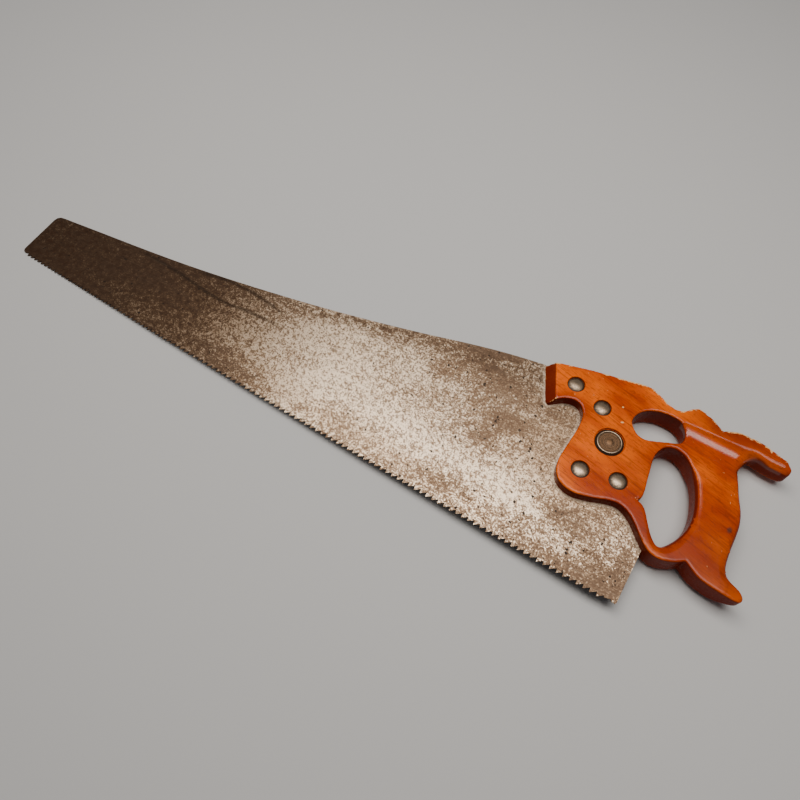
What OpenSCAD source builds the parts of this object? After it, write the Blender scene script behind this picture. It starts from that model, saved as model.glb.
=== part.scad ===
// Rip hand saw: a tapered steel blade held in a slotted hardwood handle by four saw bolts and a
// medallion bolt, each drawn up by a slotted nut on the right-hand cheek.
// The saw is drawn with X along the tooth line from toe to heel, Y from the teeth to the back and Z
// across the thickness, from the middle of the blade to the left-hand cheek. place() then lays it on
// its right-hand cheek with the origin under its middle.

/* [Blade] */
// Length of the toothed edge
tooth_edge = 660; // [640:1:690]
// Thickness of the steel
blade_t = 1.0; // [0.8:0.05:1.2]
// Width of the toe, from the teeth to the back
toe_w = 57.5; // [50:0.5:62]

/* [Teeth] */
// Number of teeth in the coarse rear stretch
rear_teeth = 80; // [70:1:85]
// Pitch of the coarse rear teeth
rear_pitch = 5.74; // [5.6:0.02:5.8]
// Number of finer starting teeth at the toe
front_teeth = 40; // [30:1:45]
// Lean of a tooth's cutting face from square
rake = 8; // [0:1:15]
// Depth of a tooth as a share of its pitch
depth_share = 0.65; // [0.5:0.01:0.7]
// How far the middle of the tooth line stands out from a straight edge
breast = 2.8; // [0:0.1:4]

/* [Handle] */
// Thickness of the wood
handle_t = 22.6; // [21.6:0.1:24]
// Clearance between the blade and its slot, over both sides
slot_play = 0.1; // [0.05:0.05:0.3]
// Lean of the bevel on each side of the nose, from square
nose_bevel = 37.5; // [30:0.5:42]
// Radius of the thumb groove
groove_r = 17.8; // [17.4:0.1:18.2]

/* [Saw bolts] */
// Diameter of a domed bolt head or nut
head_d = 15.4; // [14.5:0.1:15.6]
// Diameter of a bolt's threaded shank
shank_d = 4.8; // [4.5:0.1:5.5]
// Side of the square neck under a bolt head
neck_w = 6.4; // [6:0.1:7]
// Diameter of a nut's barrel
barrel_d = 8.0; // [7:0.1:8.5]
// Width of the screwdriver slot across a nut
slot_w = 1.4; // [1:0.1:2]

/* [Medallion] */
// Diameter of the medallion at the foot of its skirt
medal_d = 25.2; // [24:0.1:25.6]
// Diameter of the badge set inside the rim
badge_d = 18.8; // [17:0.1:19]

/* [Hidden] */

$fn = 64;
steel = [0.50, 0.43, 0.37];
wood = [0.74, 0.32, 0.10];
nickel = [0.72, 0.70, 0.64];
bronze = [0.45, 0.36, 0.25];

cheek = handle_t / 2;              // height of the left-hand cheek above the middle of the blade
heel = [tooth_edge, 0];            // the handle is drawn from the heel's end of the tooth line
past = 2;                          // how far a cut runs past the wood
pieces = 4;                        // straight pieces between two points of a curve

// A smooth open curve through points, with its ends repeated, and a smooth closed ring
function blend(a, b, c, d, t) =
    0.5 * (2 * b + (c - a) * t + (2 * a - 5 * b + 4 * c - d) * t * t
           + (3 * b - a - 3 * c + d) * t * t * t);
function curve(p) = concat(
    [for (i = [0 : len(p) - 2], j = [0 : pieces - 1])
        blend(p[max(0, i - 1)], p[i], p[i + 1], p[min(len(p) - 1, i + 2)], j / pieces)],
    [p[len(p) - 1]]);
function ring(p) = [for (n = len(p), i = [0 : len(p) - 1], j = [0 : pieces - 1])
    blend(p[(i + n - 1) % n], p[i], p[(i + 1) % n], p[(i + 2) % n], j / pieces)];
// An arc round a centre, in equal steps
function arc(c, r, from, to, n) =
    [for (i = [0 : n]) let (a = from + (to - from) * i / n) c + r * [cos(a), sin(a)]];
function stretched(p, s) = [for (q = p) [q[0] * s, q[1]]];

// ---- Teeth ----
front_pitch = (tooth_edge - rear_teeth * rear_pitch) / front_teeth;
teeth = front_teeth + rear_teeth;
worn_teeth = 2;                    // the last teeth at the heel are worn low
worn_share = 0.35;                 // what is left of their depth
first_tip = 3;                     // place of the first tip from the toe
heel_drop = 1.5;                   // the heel's tooth line is a little below the toe's

function tooth_x(i) = first_tip + i * front_pitch
    + max(0, i - front_teeth) * (rear_pitch - front_pitch);
function tooth_depth(i) = depth_share * (i < front_teeth ? front_pitch : rear_pitch);
function tooth_wear(i) = i < teeth - worn_teeth ? 1 : worn_share;
function tooth_line(x) = let (t = x / tooth_edge) -heel_drop * t - 4 * breast * t * (1 - t);
function tooth(i) = let (x = tooth_x(i), root = tooth_line(x) + tooth_depth(i))
    [[x - tooth_depth(i) * tan(rake), root], [x, root - tooth_depth(i) * tooth_wear(i)]];

// ---- Blade ----
heel_over = 1.5;                   // plain steel behind the last tooth
heel_top = 54;                     // height of the heel's straight edge, inside the handle
tang_c = [-120, 77];               // the tang ends in a round inside the handle
tang_r = 90;

function tang(gap) = [for (p = arc(tang_c, tang_r + gap, 7, 96, 16)) heel + p];
// The back of the blade from the handle to the toe, a little hollow and then full near the handle
back = stretched(curve(
    [[515, 169], [490, 163.8], [465, 157.6], [435, 148.8], [400, 137.8], [350, 123.5], [300, 110.5],
     [250, 99.1], [200, 88.7], [150, 79.5], [100, 71.8], [45, 64.3], [-4, toe_w]]), tooth_edge / 660);
toe = [[-7.8, toe_w - 1], [-10.2, toe_w - 3.6], [-10.8, toe_w - 7.5], [-6.6, 8], [-6, 4.4],
       [-4.2, 2.4], [-1.6, 1.8]];
blade_outline = concat(
    [for (i = [0 : teeth - 1]) each tooth(i)],
    [heel + [heel_over - 0.6, 0.6], heel + [heel_over, 2], heel + [heel_over, heel_top]],
    tang(0), [heel + [-138, 169.6]], back, toe);

// ---- Handle, seen from the heel ----
nose_foot = [-126.5, 134.5];
nose_dir = 115;                    // direction of the nose, up from its foot
bevel_start = 0.8;                 // height above the middle of the blade where the nose bevel starts

outline = concat(
    curve([[-143, 168.2], [-130, 172], [-101, 180.8], [-72, 187.6], [-58, 191.2], [-49, 191.8],
           [-40, 188.4], [-32, 184.8], [-25, 182.8], [-18.8, 183.8], [-14.5, 187.2], [-10, 192.8],
           [-5.5, 194.3], [1, 193], [8, 190.4], [13.5, 187.4], [18.6, 184.6]]),
    curve([[18.6, 184.6], [24.5, 187.7], [31, 190.4], [39, 191.4], [48, 191.3], [56, 190.3],
           [65, 187.9], [73, 185.5], [78, 184], [81, 182.6], [81.6, 180.8], [80, 179.2],
           [74, 178.8], [66, 178.7], [58, 178.4], [52, 176.5], [48, 172.8], [45.8, 167.8],
           [44.6, 160.5], [45.2, 152.5], [48, 143.7], [52, 133.5], [57.2, 122], [60, 111],
           [60.6, 100], [60.6, 88], [61.2, 77], [62.3, 70], [64.6, 65], [68.5, 61.4],
           [73.5, 59], [77.8, 56.8], [80.4, 54]]),
    curve([[80.6, 52], [79.6, 49.6], [76, 48.3], [69, 48], [60, 48.3], [51, 49.1], [44, 50.8],
           [37.5, 54.2], [32.4, 57.3]]),
    curve([[32.4, 57.3], [28.5, 53.8], [23, 50.6], [15.5, 48], [8, 48], [1.5, 51], [-5, 56.4],
           [-12, 63.1], [-19, 69], [-26, 72.4], [-33, 73.2], [-41, 71], [-49, 67.4], [-58, 64.2],
           [-67, 62.2], [-75, 63], [-82, 66.3], [-87, 72.4], [-89.4, 79.6], [-90.1, 88],
           [-89.6, 100], [-89, 112], [-88.9, 123], [-90.2, 131.8], [-93.2, 138], [-97.4, 141.9],
           [-103.5, 143.1], [-110.4, 140.8], [-115.8, 136.8], [-120.5, 132.4], [-123.4, 131.7],
           nose_foot]));
hand_hole = concat(
    curve([[-21, 85.2], [-17.7, 86.3], [-16.7, 91], [-17.4, 98], [-19, 107], [-20.6, 117],
           [-22, 125], [-22, 131], [-20.4, 137.4], [-17, 142.4], [-12, 145.2], [-6, 145.6],
           [1, 142.8], [7.4, 137.2], [12.4, 131], [17, 123], [20.8, 113.6], [23.6, 104],
           [25, 95], [24.8, 86], [23, 78], [19.8, 70.2], [16, 64], [12.4, 59.8], [9, 58.4],
           [5, 60.6], [0, 65.2], [-4.6, 71.2], [-8.2, 76.8], [-12.2, 81.6], [-16, 83.8]]));
thumb_hole = ring(
    [[-51.8, 152.8], [-51.2, 157.5], [-49.2, 162.3], [-45.5, 166.6], [-40.5, 170.2], [-34, 172.9],
     [-27, 174.2], [-19.5, 174.2], [-13.2, 172.2], [-9, 168.8], [-6.5, 164.2], [-6.4, 159],
     [-8.2, 154], [-12, 150.6], [-17, 148.3], [-22.5, 145.6], [-28, 142.8], [-33.5, 140.6],
     [-39, 140.2], [-44.2, 142.1], [-48.5, 146], [-51, 149.5]]);

// ---- Saw bolts, seen from the heel ----
nose_at = [-109, 158.4];
upper_at = [-79, 148.7];
front_at = [-70.5, 84.2];
rear_at = [-39.3, 91.4];
medal_at = [-60, 121];
bolts_at = [nose_at, upper_at, front_at, rear_at];

seat_gap = 0.4;                    // gap round a head in its counterbore
fit_gap = 0.1;                     // gap round a neck, shank or barrel
thread_fit = 0.05;                 // the thread's working clearance in a nut
rim_t = 0.9;                       // thickness of a head at its edge
dome_h = 1.5;                      // rise of a head's dome
left_seat = cheek - 2.2;           // depth of the counterbores under the left-hand heads
right_seat = cheek - 2.8;          // and under the nuts, whose domes stay below the cheek
neck_h = 4.5;                      // length of a square neck
barrel_end = 2.0;                  // how near a barrel comes to the middle of the blade
shank_end = right_seat - 0.6;      // how far a shank reaches into its nut
slot_depth = 1.1;                  // depth of the screwdriver slot
medal_shank_d = 6.4;
medal_neck_w = 9;
medal_nut_d = 19;
medal_barrel_d = 10;
medal_rim_t = 2.4;                 // height of the medallion's rim above its seat
medal_skirt_t = 0.8;               // height of its skirt at the edge
bead_w = 1.5;                      // width of the raised bead round the badge
cup_floor = 0.6;                   // thickness of the metal under the badge
badge_t = 1.0;
ring_h = 0.25;                     // height of the badge's fine rings

// Lays the saw on its right-hand cheek, with the origin under the middle of its box
low_x = min([for (p = blade_outline) p[0]]);
high_x = max([for (p = outline) p[0]]) + heel[0];
low_y = min([for (p = blade_outline) p[1]]);
high_y = max([for (p = outline) p[1]]);
module place() {
    translate([-(low_x + high_x) / 2, -(low_y + high_y) / 2, cheek]) children();
}
module at_heel(p = [0, 0]) {
    translate([heel[0] + p[0], heel[1] + p[1], 0]) children();
}

// A cut through the wood from cheek to cheek
module through_cut(points) {
    translate([0, 0, -cheek - past]) linear_extrude(handle_t + 2 * past) polygon(points);
}
// A straight bore between two heights
module bore(d, from, to) {
    translate([0, 0, from]) cylinder(d = d, h = to - from);
}
// A square socket or neck between two heights
module square_bar(w, from, to) {
    translate([-w / 2, -w / 2, from]) cube([w, w, to - from]);
}
// A domed disc, flat underneath: a cap of a sphere on a straight rim
module domed_head(d, rim, rise) {
    cap_r = (d * d / 4 + rise * rise) / (2 * rise);
    union() {
        cylinder(d = d, h = rim);
        intersection() {
            translate([0, 0, rim + rise - cap_r]) sphere(r = cap_r, $fn = 96);
            translate([0, 0, rim]) cylinder(d = d, h = rise + 1);
        }
    }
}

module blade() {
    color(steel) place() difference() {
        translate([0, 0, -blade_t / 2]) linear_extrude(blade_t) polygon(blade_outline);
        for (p = bolts_at) at_heel(p) bore(shank_d + 2 * fit_gap, -blade_t, blade_t);
        at_heel(medal_at) bore(medal_shank_d + 2 * fit_gap, -blade_t, blade_t);
    }
}

// The slot that takes the blade, open at the nose and along the handle's front
module blade_slot() {
    play = 0.4;
    slot_t = blade_t + slot_play;
    translate([0, 0, -slot_t / 2]) linear_extrude(slot_t) polygon(concat(
        [heel + [-165, 20], heel + [heel_over + play, 20], heel + [heel_over + play, heel_top + play]],
        tang(play), [heel + [-137.5, 170.2], heel + [-137.5, 200], heel + [-165, 200]]));
}

// The bevel that thins the nose towards the blade, on both sides
module nose_bevels() {
    for (side = [0, 1]) mirror([0, 0, side])
        at_heel(nose_foot) translate([0, 0, bevel_start]) rotate([0, 0, nose_dir])
            rotate([nose_bevel, 0, 0]) translate([-30, 0, 0]) cube([100, 40, 40]);
}

// The groove for the thumb, hollowed across the left-hand cheek from the thumb hole to the notch
// under the upper horn, and growing deeper and wider on the way
module thumb_groove() {
    near = [-12, 164, cheek + 14];
    far = [84, 166, cheek + 10.6];
    run = far - near;
    at_heel() translate(near) rotate([0, 90 - atan(run[2] / run[0]), atan(run[1] / run[0])])
        cylinder(r = groove_r, h = norm(run), $fn = 160);
}

// Everything that one saw bolt needs in the wood: seats for head and nut, socket and bores
module bolt_seat(seat_d, nut_d, neck, shank, barrel) {
    bore(seat_d + 2 * seat_gap, left_seat, cheek + past);
    square_bar(neck + 2 * fit_gap, left_seat - neck_h - fit_gap, left_seat + 0.5);
    bore(shank + 2 * fit_gap, -barrel_end - 0.5, left_seat);
    bore(barrel + 2 * fit_gap, -right_seat - 0.5, -barrel_end + fit_gap);
    bore(nut_d + 2 * seat_gap, -cheek - past, -right_seat);
}

module handle() {
    color(wood) place() difference() {
        at_heel() translate([0, 0, -cheek]) linear_extrude(handle_t) polygon(outline);
        at_heel() through_cut(hand_hole);
        at_heel() through_cut(thumb_hole);
        nose_bevels();
        thumb_groove();
        blade_slot();
        for (p = bolts_at) at_heel(p) bolt_seat(head_d, head_d, neck_w, shank_d, barrel_d);
        at_heel(medal_at)
            bolt_seat(medal_d + 1, medal_nut_d, medal_neck_w, medal_shank_d, medal_barrel_d);
    }
}

// A saw bolt: domed head, square neck that stops it turning, and threaded shank
module saw_bolt(at) {
    color(nickel) place() at_heel(at) union() {
        translate([0, 0, left_seat]) domed_head(head_d, rim_t, dome_h);
        square_bar(neck_w, left_seat - neck_h, left_seat);
        bore(shank_d, -shank_end, left_seat);
    }
}

// A saw nut: slotted domed head and a barrel threaded inside, drawn up from the right
module saw_nut(at, d, barrel, shank) {
    color(nickel) place() at_heel(at) mirror([0, 0, 1]) difference() {
        union() {
            translate([0, 0, right_seat]) domed_head(d, rim_t, dome_h);
            bore(barrel, barrel_end, right_seat);
        }
        bore(shank + 2 * thread_fit, barrel_end - 1, shank_end + 0.3);
        translate([-slot_w / 2, -d, right_seat + rim_t + dome_h - slot_depth])
            cube([slot_w, 2 * d, slot_depth + 1]);
    }
}

module nose_bolt() { saw_bolt(nose_at); }
module upper_bolt() { saw_bolt(upper_at); }
module front_bolt() { saw_bolt(front_at); }
module rear_bolt() { saw_bolt(rear_at); }
module nose_nut() { saw_nut(nose_at, head_d, barrel_d, shank_d); }
module upper_nut() { saw_nut(upper_at, head_d, barrel_d, shank_d); }
module front_nut() { saw_nut(front_at, head_d, barrel_d, shank_d); }
module rear_nut() { saw_nut(rear_at, head_d, barrel_d, shank_d); }
module medallion_nut() { saw_nut(medal_at, medal_nut_d, medal_barrel_d, medal_shank_d); }

// The medallion's bolt: a shallow cup with a rounded bead and a sloping skirt, on a square neck
// and shank
module medallion_bolt() {
    cup_r = badge_d / 2 + fit_gap;
    bead_c = [cup_r + bead_w / 2, medal_rim_t - bead_w / 2];
    color(nickel) place() at_heel(medal_at) union() {
        translate([0, 0, left_seat]) rotate_extrude($fn = 96) polygon(concat(
            [[0, 0], [medal_d / 2, 0], [medal_d / 2, medal_skirt_t]],
            arc(bead_c, bead_w / 2, 20, 180, 8),
            [[cup_r, cup_floor], [0, cup_floor]]));
        square_bar(medal_neck_w, left_seat - neck_h, left_seat + cup_floor / 2);
        bore(medal_shank_d, -shank_end, left_seat);
    }
}

// The badge: a plain disc with two fine raised rings, pressed into the cup
module medallion_badge() {
    floor = left_seat + cup_floor;
    color(bronze) place() at_heel(medal_at) union() {
        bore(badge_d, floor, floor + badge_t);
        for (r = [badge_d / 2 - 1.6, badge_d / 2 - 4.2])
            translate([0, 0, floor + badge_t]) rotate_extrude()
                translate([r - 0.3, 0]) square([0.6, ring_h]);
    }
}

blade();
handle();
nose_bolt();
nose_nut();
upper_bolt();
upper_nut();
front_bolt();
front_nut();
rear_bolt();
rear_nut();
medallion_bolt();
medallion_badge();
medallion_nut();
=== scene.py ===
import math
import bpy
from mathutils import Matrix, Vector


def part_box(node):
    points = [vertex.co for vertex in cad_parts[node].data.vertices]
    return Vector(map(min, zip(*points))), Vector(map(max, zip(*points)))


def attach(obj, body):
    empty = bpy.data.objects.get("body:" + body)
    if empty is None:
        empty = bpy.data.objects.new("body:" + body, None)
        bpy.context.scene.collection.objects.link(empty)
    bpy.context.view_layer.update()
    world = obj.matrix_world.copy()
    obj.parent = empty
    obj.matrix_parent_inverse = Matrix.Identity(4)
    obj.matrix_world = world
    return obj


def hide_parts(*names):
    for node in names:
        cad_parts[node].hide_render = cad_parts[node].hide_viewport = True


bl_info = {
    "name": "Rip hand saw",
    "version": (1, 0, 0),
    "blender": (4, 5, 0),
    "location": "3D View > Sidebar > Hand saw",
    "description": "Builds the finished pieces of a rip hand saw round its packed frame",
    "category": "Object",
}

import bpy
import numpy as np
from mathutils import Vector
from mathutils.bvhtree import BVHTree
from mathutils.kdtree import KDTree

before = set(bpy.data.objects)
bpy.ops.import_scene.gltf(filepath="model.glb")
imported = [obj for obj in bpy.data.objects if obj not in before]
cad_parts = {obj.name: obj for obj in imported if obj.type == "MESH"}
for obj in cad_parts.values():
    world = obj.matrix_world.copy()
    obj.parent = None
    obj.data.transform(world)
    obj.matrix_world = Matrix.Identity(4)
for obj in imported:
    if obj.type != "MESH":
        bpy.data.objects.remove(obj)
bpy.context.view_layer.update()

MM = 0.001
SAW_BOLTS = ("nose", "upper", "front", "rear")

# Places on the saw are given in millimetres from the heel's end of the tooth line, with X towards
# the grip, Y towards the back and Z up from the middle of the blade. The medallion fixes them.
MEDALLION_AT = (-60, 121)
TOOTH_EDGE = 660


def middle(node):
    low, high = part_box(node)
    return (low + high) / 2


HEEL = middle("medallion_badge") - Vector(MEDALLION_AT).to_3d() * MM
HEEL.z = middle("blade").z
CHEEKS = (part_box("handle")[0].z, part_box("handle")[1].z)  # right-hand and left-hand cheek
RIGHT_CHEEK, LEFT_CHEEK = ((z - HEEL.z) / MM for z in CHEEKS)  # and their heights from the heel


def at_heel(x, y, z=0.0):
    """A place in millimetres from the heel, as a point in metres."""
    return HEEL + Vector((x, y, z)) * MM


def at_toe(x, y, z=0.0):
    """The same, with X from the toe's end of the tooth line."""
    return at_heel(x - TOOTH_EDGE, y, z)


# ---- Settings ----


def number(name, description, default, **limits):
    return bpy.props.FloatProperty(name=name, description=description, default=default, **limits)


def colour(name, description, default):
    return bpy.props.FloatVectorProperty(
        name=name, description=description, default=default, subtype="COLOR", size=3, min=0, max=1
    )


def length(name, description, default):
    return number(name, description, default, min=0, subtype="DISTANCE", unit="LENGTH")


def share(name, description, default):
    return number(name, description, default, min=0, max=1, subtype="FACTOR")


def power(name, description, default):
    return number(name, description, default, min=0, unit="POWER")


def angle(name, description, default):
    return number(name, description, math.radians(default), subtype="ANGLE", unit="ROTATION")


class WoodSettings(bpy.types.PropertyGroup):
    mesh_size: length("Mesh size", "Spacing of the carved handle's mesh", 0.00085)
    grip_round: length("Grip rounding", "Radius of the edges on the back of the grip", 0.0066)
    hole_round: length("Hand hole rounding", "Radius where the fingers wrap the grip", 0.0050)
    light: colour("Light wood", "Varnished wood where it is lightest", (0.90, 0.148, 0.001))
    deep: colour("Deep wood", "Varnished wood where it is darkest", (0.42, 0.040, 0.001))
    bare: colour("Bare wood", "Wood where the varnish has worn or chipped off", (0.90, 0.50, 0.19))
    gloss: share("Varnish roughness", "Roughness of the varnish", 0.20)


class SteelSettings(bpy.types.PropertyGroup):
    tooth_set: length("Tooth set", "How far each tooth leans out, left and right in turn", 0.0002)
    bright: colour("Bright steel", "Steel where it is still clean", (0.80, 0.635, 0.465))
    patina: colour("Patina", "Steel under its brown skin", (0.165, 0.098, 0.058))
    rust: colour("Rust", "Rust that still shows its colour", (0.17, 0.070, 0.024))
    pits: colour("Pits", "Dark pits and spots", (0.03, 0.019, 0.014))


class FittingSettings(bpy.types.PropertyGroup):
    nickel: colour("Nickel", "Plating where it is clean", (0.44, 0.325, 0.225))
    tarnish: colour("Tarnish", "Plating where it is dull or dirty", (0.045, 0.026, 0.013))
    badge: colour("Badge", "Aged brass of the badge", (0.155, 0.080, 0.036))


class StageSettings(bpy.types.PropertyGroup):
    floor: colour("Floor", "Colour of the plain floor", (0.55, 0.54, 0.53))
    softbox: power("Softbox", "Power of the softbox over the back of the saw", 15)
    ceiling: power("Ceiling", "Power of the broad dim light round it", 5.5)
    surround: share("Surround", "Brightness of the room round the softbox", 0.10)
    azimuth: angle("Azimuth", "Camera's direction round the saw", 32.74)
    elevation: angle("Elevation", "Camera's height above the horizon", 60.2)
    distance: length("Distance", "From the camera to the point that it looks at", 0.6053)
    lens: number(
        "Lens", "Focal length on a 36 mm sensor", 29.925, min=1, subtype="DISTANCE_CAMERA"
    )


# ---- Work on meshes ----


def work_on(piece):
    """Leaves edit mode, and makes one object the only one selected, and active."""
    if bpy.context.mode != "OBJECT":
        bpy.ops.object.mode_set(mode="OBJECT")
    bpy.ops.object.select_all(action="DESELECT")
    piece.select_set(True)
    bpy.context.view_layer.objects.active = piece


def read_rows(elements, name, width=3, kind=float):
    """One attribute of all a mesh's elements, a row each."""
    values = np.empty(len(elements) * width, kind)
    elements.foreach_get(name, values)
    return values.reshape(-1, width)


def points(piece):
    return read_rows(piece.data.vertices, "co")


def normals(piece):
    return read_rows(piece.data.vertex_normals, "vector")


def edge_ends(piece):
    return read_rows(piece.data.edges, "vertices", 2, int)


def face_values(piece, name):
    return read_rows(piece.data.polygons, name)


def put_points(piece, co):
    piece.data.vertices.foreach_set("co", np.ascontiguousarray(co).ravel())
    piece.data.update()


def from_heel(piece):
    """A mesh's points in millimetres from the heel."""
    return (points(piece) - np.array(HEEL)) / MM


def put_from_heel(piece, local):
    put_points(piece, local * MM + np.array(HEEL))


def pick(piece, kind, chosen):
    """Selects the chosen vertices, edges or polygons and nothing else, and enters edit mode."""
    work_on(piece)
    for part in ("vertices", "edges", "polygons"):
        elements = getattr(piece.data, part)
        flags = np.zeros(len(elements), bool)
        if part == kind:
            flags[:] = chosen
        elements.foreach_set("select", flags)
    bpy.context.tool_settings.mesh_select_mode = [
        kind == part for part in ("vertices", "edges", "polygons")
    ]
    bpy.ops.object.mode_set(mode="EDIT")


def pick_all(piece):
    work_on(piece)
    bpy.ops.object.mode_set(mode="EDIT")
    bpy.ops.mesh.select_all(action="SELECT")


def open_edges(piece):
    """Which edges have a face on one side only."""
    sides = read_rows(piece.data.loops, "edge_index", 1, int).ravel()
    return np.bincount(sides, minlength=len(piece.data.edges)) == 1


def new_object(name, data):
    added = bpy.data.objects.new(name, data)
    bpy.context.scene.collection.objects.link(added)
    return added


def copied(node, name):
    """A copy of a CAD node's mesh as a new object, with its loose triangles merged."""
    piece = new_object(name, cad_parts[node].data.copy())
    piece.data.materials.clear()
    work_on(piece)
    if piece.data.has_custom_normals:
        bpy.ops.mesh.customdata_custom_splitnormals_clear()
    pick_all(piece)
    bpy.ops.mesh.remove_doubles(threshold=0.002 * MM)
    work_on(piece)
    return piece


def join(pieces):
    work_on(pieces[0])
    for piece in pieces[1:]:
        piece.select_set(True)
    bpy.ops.object.join()
    return pieces[0]


def apply_modifier(piece, kind, **settings):
    modifier = piece.modifiers.new(kind.lower(), kind)
    for name, value in settings.items():
        setattr(modifier, name, value)
    work_on(piece)
    bpy.ops.object.modifier_apply(modifier=modifier.name)


def carve(piece, cutter, operation="DIFFERENCE"):
    """Cuts a piece with another one, or adds it, and removes the other one."""
    before = len(piece.data.vertices)
    apply_modifier(piece, "BOOLEAN", object=cutter, operation=operation, solver="MANIFOLD")
    if len(piece.data.vertices) in (0, before):
        raise RuntimeError(f"{cutter.name} did not cut {piece.name}")
    bpy.data.objects.remove(cutter)


def write_attribute(piece, name, values):
    attribute = piece.data.attributes.get(name) or piece.data.attributes.new(name, "FLOAT", "POINT")
    attribute.data.foreach_set("value", np.asarray(values, np.float32))


def smooth_step(values, low, high):
    t = np.clip((values - low) / (high - low), 0, 1)
    return t * t * (3 - 2 * t)


def turned(name, centre, profile, steps=48):
    """A round piece spun from its profile, given in millimetres as radius and height."""
    verts = [(centre[0] + r * MM, centre[1], centre[2] + z * MM) for r, z in profile]
    mesh = bpy.data.meshes.new(name)
    mesh.from_pydata(verts, [(i, i + 1) for i in range(len(verts) - 1)], [])
    piece = new_object(name, mesh)
    pick_all(piece)
    bpy.ops.mesh.spin(steps=steps, angle=2 * math.pi, center=centre, axis=(0, 0, 1))
    bpy.ops.mesh.select_all(action="SELECT")
    bpy.ops.mesh.remove_doubles(threshold=0.002 * MM)
    bpy.ops.mesh.normals_make_consistent(inside=False)
    work_on(piece)
    return piece


def box_between(name, centre, size, turn=0.0):
    """A box on its centre, turned about the vertical."""
    bpy.ops.object.select_all(action="DESELECT")
    bpy.ops.mesh.primitive_cube_add(size=1, location=centre, rotation=(0, 0, turn), scale=size)
    piece = bpy.context.object
    piece.name = name
    settle(piece)
    return piece


def settle(piece):
    """Puts an object's place into its mesh."""
    work_on(piece)
    bpy.ops.object.transform_apply(location=True, rotation=True, scale=True)


def finish_piece(piece, nodes, material, angle=math.radians(40)):
    """Gives a finished piece its shading, material and body, and hides its CAD nodes."""
    work_on(piece)
    bpy.ops.object.shade_smooth_by_angle(angle=angle)
    piece.data.materials.clear()
    piece.data.materials.append(material)
    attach(piece, "root")
    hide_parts(*nodes)


# ---- Work on materials ----


def darker(colour, amount):
    """A colour times an amount, which may also make it lighter."""
    return tuple(min(1, amount * c) for c in colour)


class Finish:
    """A material under work, with short names for the nodes that the finishes are made of."""

    def __init__(self, name):
        self.material = bpy.data.materials.new(name)
        self.material.use_nodes = True
        self.tree = self.material.node_tree
        self.where = self.tree.nodes.new("ShaderNodeTexCoord").outputs["Object"]

    def fill(self, filled, inputs):
        """Sets a node's inputs to values, or links them."""
        for key, value in inputs.items():
            if isinstance(value, bpy.types.NodeSocket):
                self.tree.links.new(value, filled.inputs[key])
            elif value is not None:
                filled.inputs[key].default_value = value
        return filled

    def node(self, kind, inputs, output=0, **settings):
        """Adds a node, sets it, fills its inputs, and gives an output."""
        added = self.tree.nodes.new("ShaderNode" + kind)
        for name, value in settings.items():
            setattr(added, name, value)
        return self.fill(added, inputs).outputs[output]

    def done(self, inputs):
        """Fills the shader's inputs and gives the material."""
        self.fill(self.tree.nodes["Principled BSDF"], inputs)
        return self.material

    def placed(self, at=(0, 0, 0), size=(1, 1, 1), turn=0.0):
        """Coordinates centred at a place, turned about the vertical, and divided by a size."""
        return self.node(
            "Mapping",
            {"Vector": self.where, "Location": tuple(at), "Rotation": (0, 0, turn), "Scale": size},
            vector_type="TEXTURE",
        )

    def noise(self, size, detail=3.0, rough=0.55, warp=0.0, stretch=None, turn=0.0):
        """Noise with features of about one size in millimetres, stretched along a direction."""
        where = self.placed(size=(*stretch, 1.0), turn=turn) if stretch else self.where
        return self.node(
            "TexNoise",
            {"Vector": where, "Scale": 1000 / size, "Detail": detail, "Roughness": rough,
             "Distortion": warp},
        )

    def ranged(self, value, low, high, to_low=0.0, to_high=1.0):
        """A value moved from one range to another, smoothly, and kept inside it."""
        return self.node(
            "MapRange",
            {"Value": value, "From Min": low, "From Max": high, "To Min": to_low,
             "To Max": to_high},
            interpolation_type="SMOOTHSTEP",
        )

    def maths(self, operation, a, b=None, c=None, clamp=False):
        return self.node("Math", {0: a, 1: b, 2: c}, operation=operation, use_clamp=clamp)

    def times(self, a, b, clamp=False):
        return self.maths("MULTIPLY", a, b, clamp=clamp)

    def less(self, a, b):
        return self.maths("SUBTRACT", a, b)

    def most(self, a, b, clamp=False):
        return self.maths("MAXIMUM", a, b, clamp=clamp)

    def total(self, start, *rows, clamp=False):
        """A start with some values added to it, each times its amount."""
        for value, amount in rows:
            start = self.maths("MULTIPLY_ADD", value, amount, start, clamp)
        return start

    def mixed(self, factor, a, b, how="MIX"):
        """A mix of two colours."""
        a, b = (c if isinstance(c, bpy.types.NodeSocket) else (*c[:3], 1) for c in (a, b))
        return self.node("Mix", {0: factor, 6: a, 7: b}, 2, data_type="RGBA", blend_type=how)

    def patch(self, at, size, turn=0.0):
        """A soft oval patch: 1 in its middle and 0 at its edge. Its sizes are in millimetres."""
        moved = self.placed(at, (size[0] * MM, size[1] * MM, 1), turn)
        return self.node("TexGradient", {"Vector": moved}, 1, gradient_type="SPHERICAL")

    def patches(self, rows):
        """The sum of some patches, each given as x, y from the toe, two sizes, turn and amount."""
        spots = [
            (self.patch(at_toe(x, y), (wide, high), math.radians(turn)), amount)
            for x, y, wide, high, turn, amount in rows
        ]
        return self.total(self.times(*spots[0]), *spots[1:])

    def attribute(self, name):
        return self.node("Attribute", {}, "Fac", attribute_name=name)

    def bump(self, height, strength, depth, under=None):
        """Bumps whose depth is in millimetres, on top of others."""
        inputs = {"Height": height, "Strength": strength, "Distance": depth * MM, "Normal": under}
        return self.node("Bump", inputs)


# ---- Handle ----

# The thumb groove, a round hollow whose axis runs from the thumb hole to the notch, as the CAD has
GROOVE_FROM = (-12, 164, 25.3)
GROOVE_TO = (84, 166, 21.9)
GROOVE_R = 17.8
SLOT_HALF = 0.56  # half the slot's thickness, and a little

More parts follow.
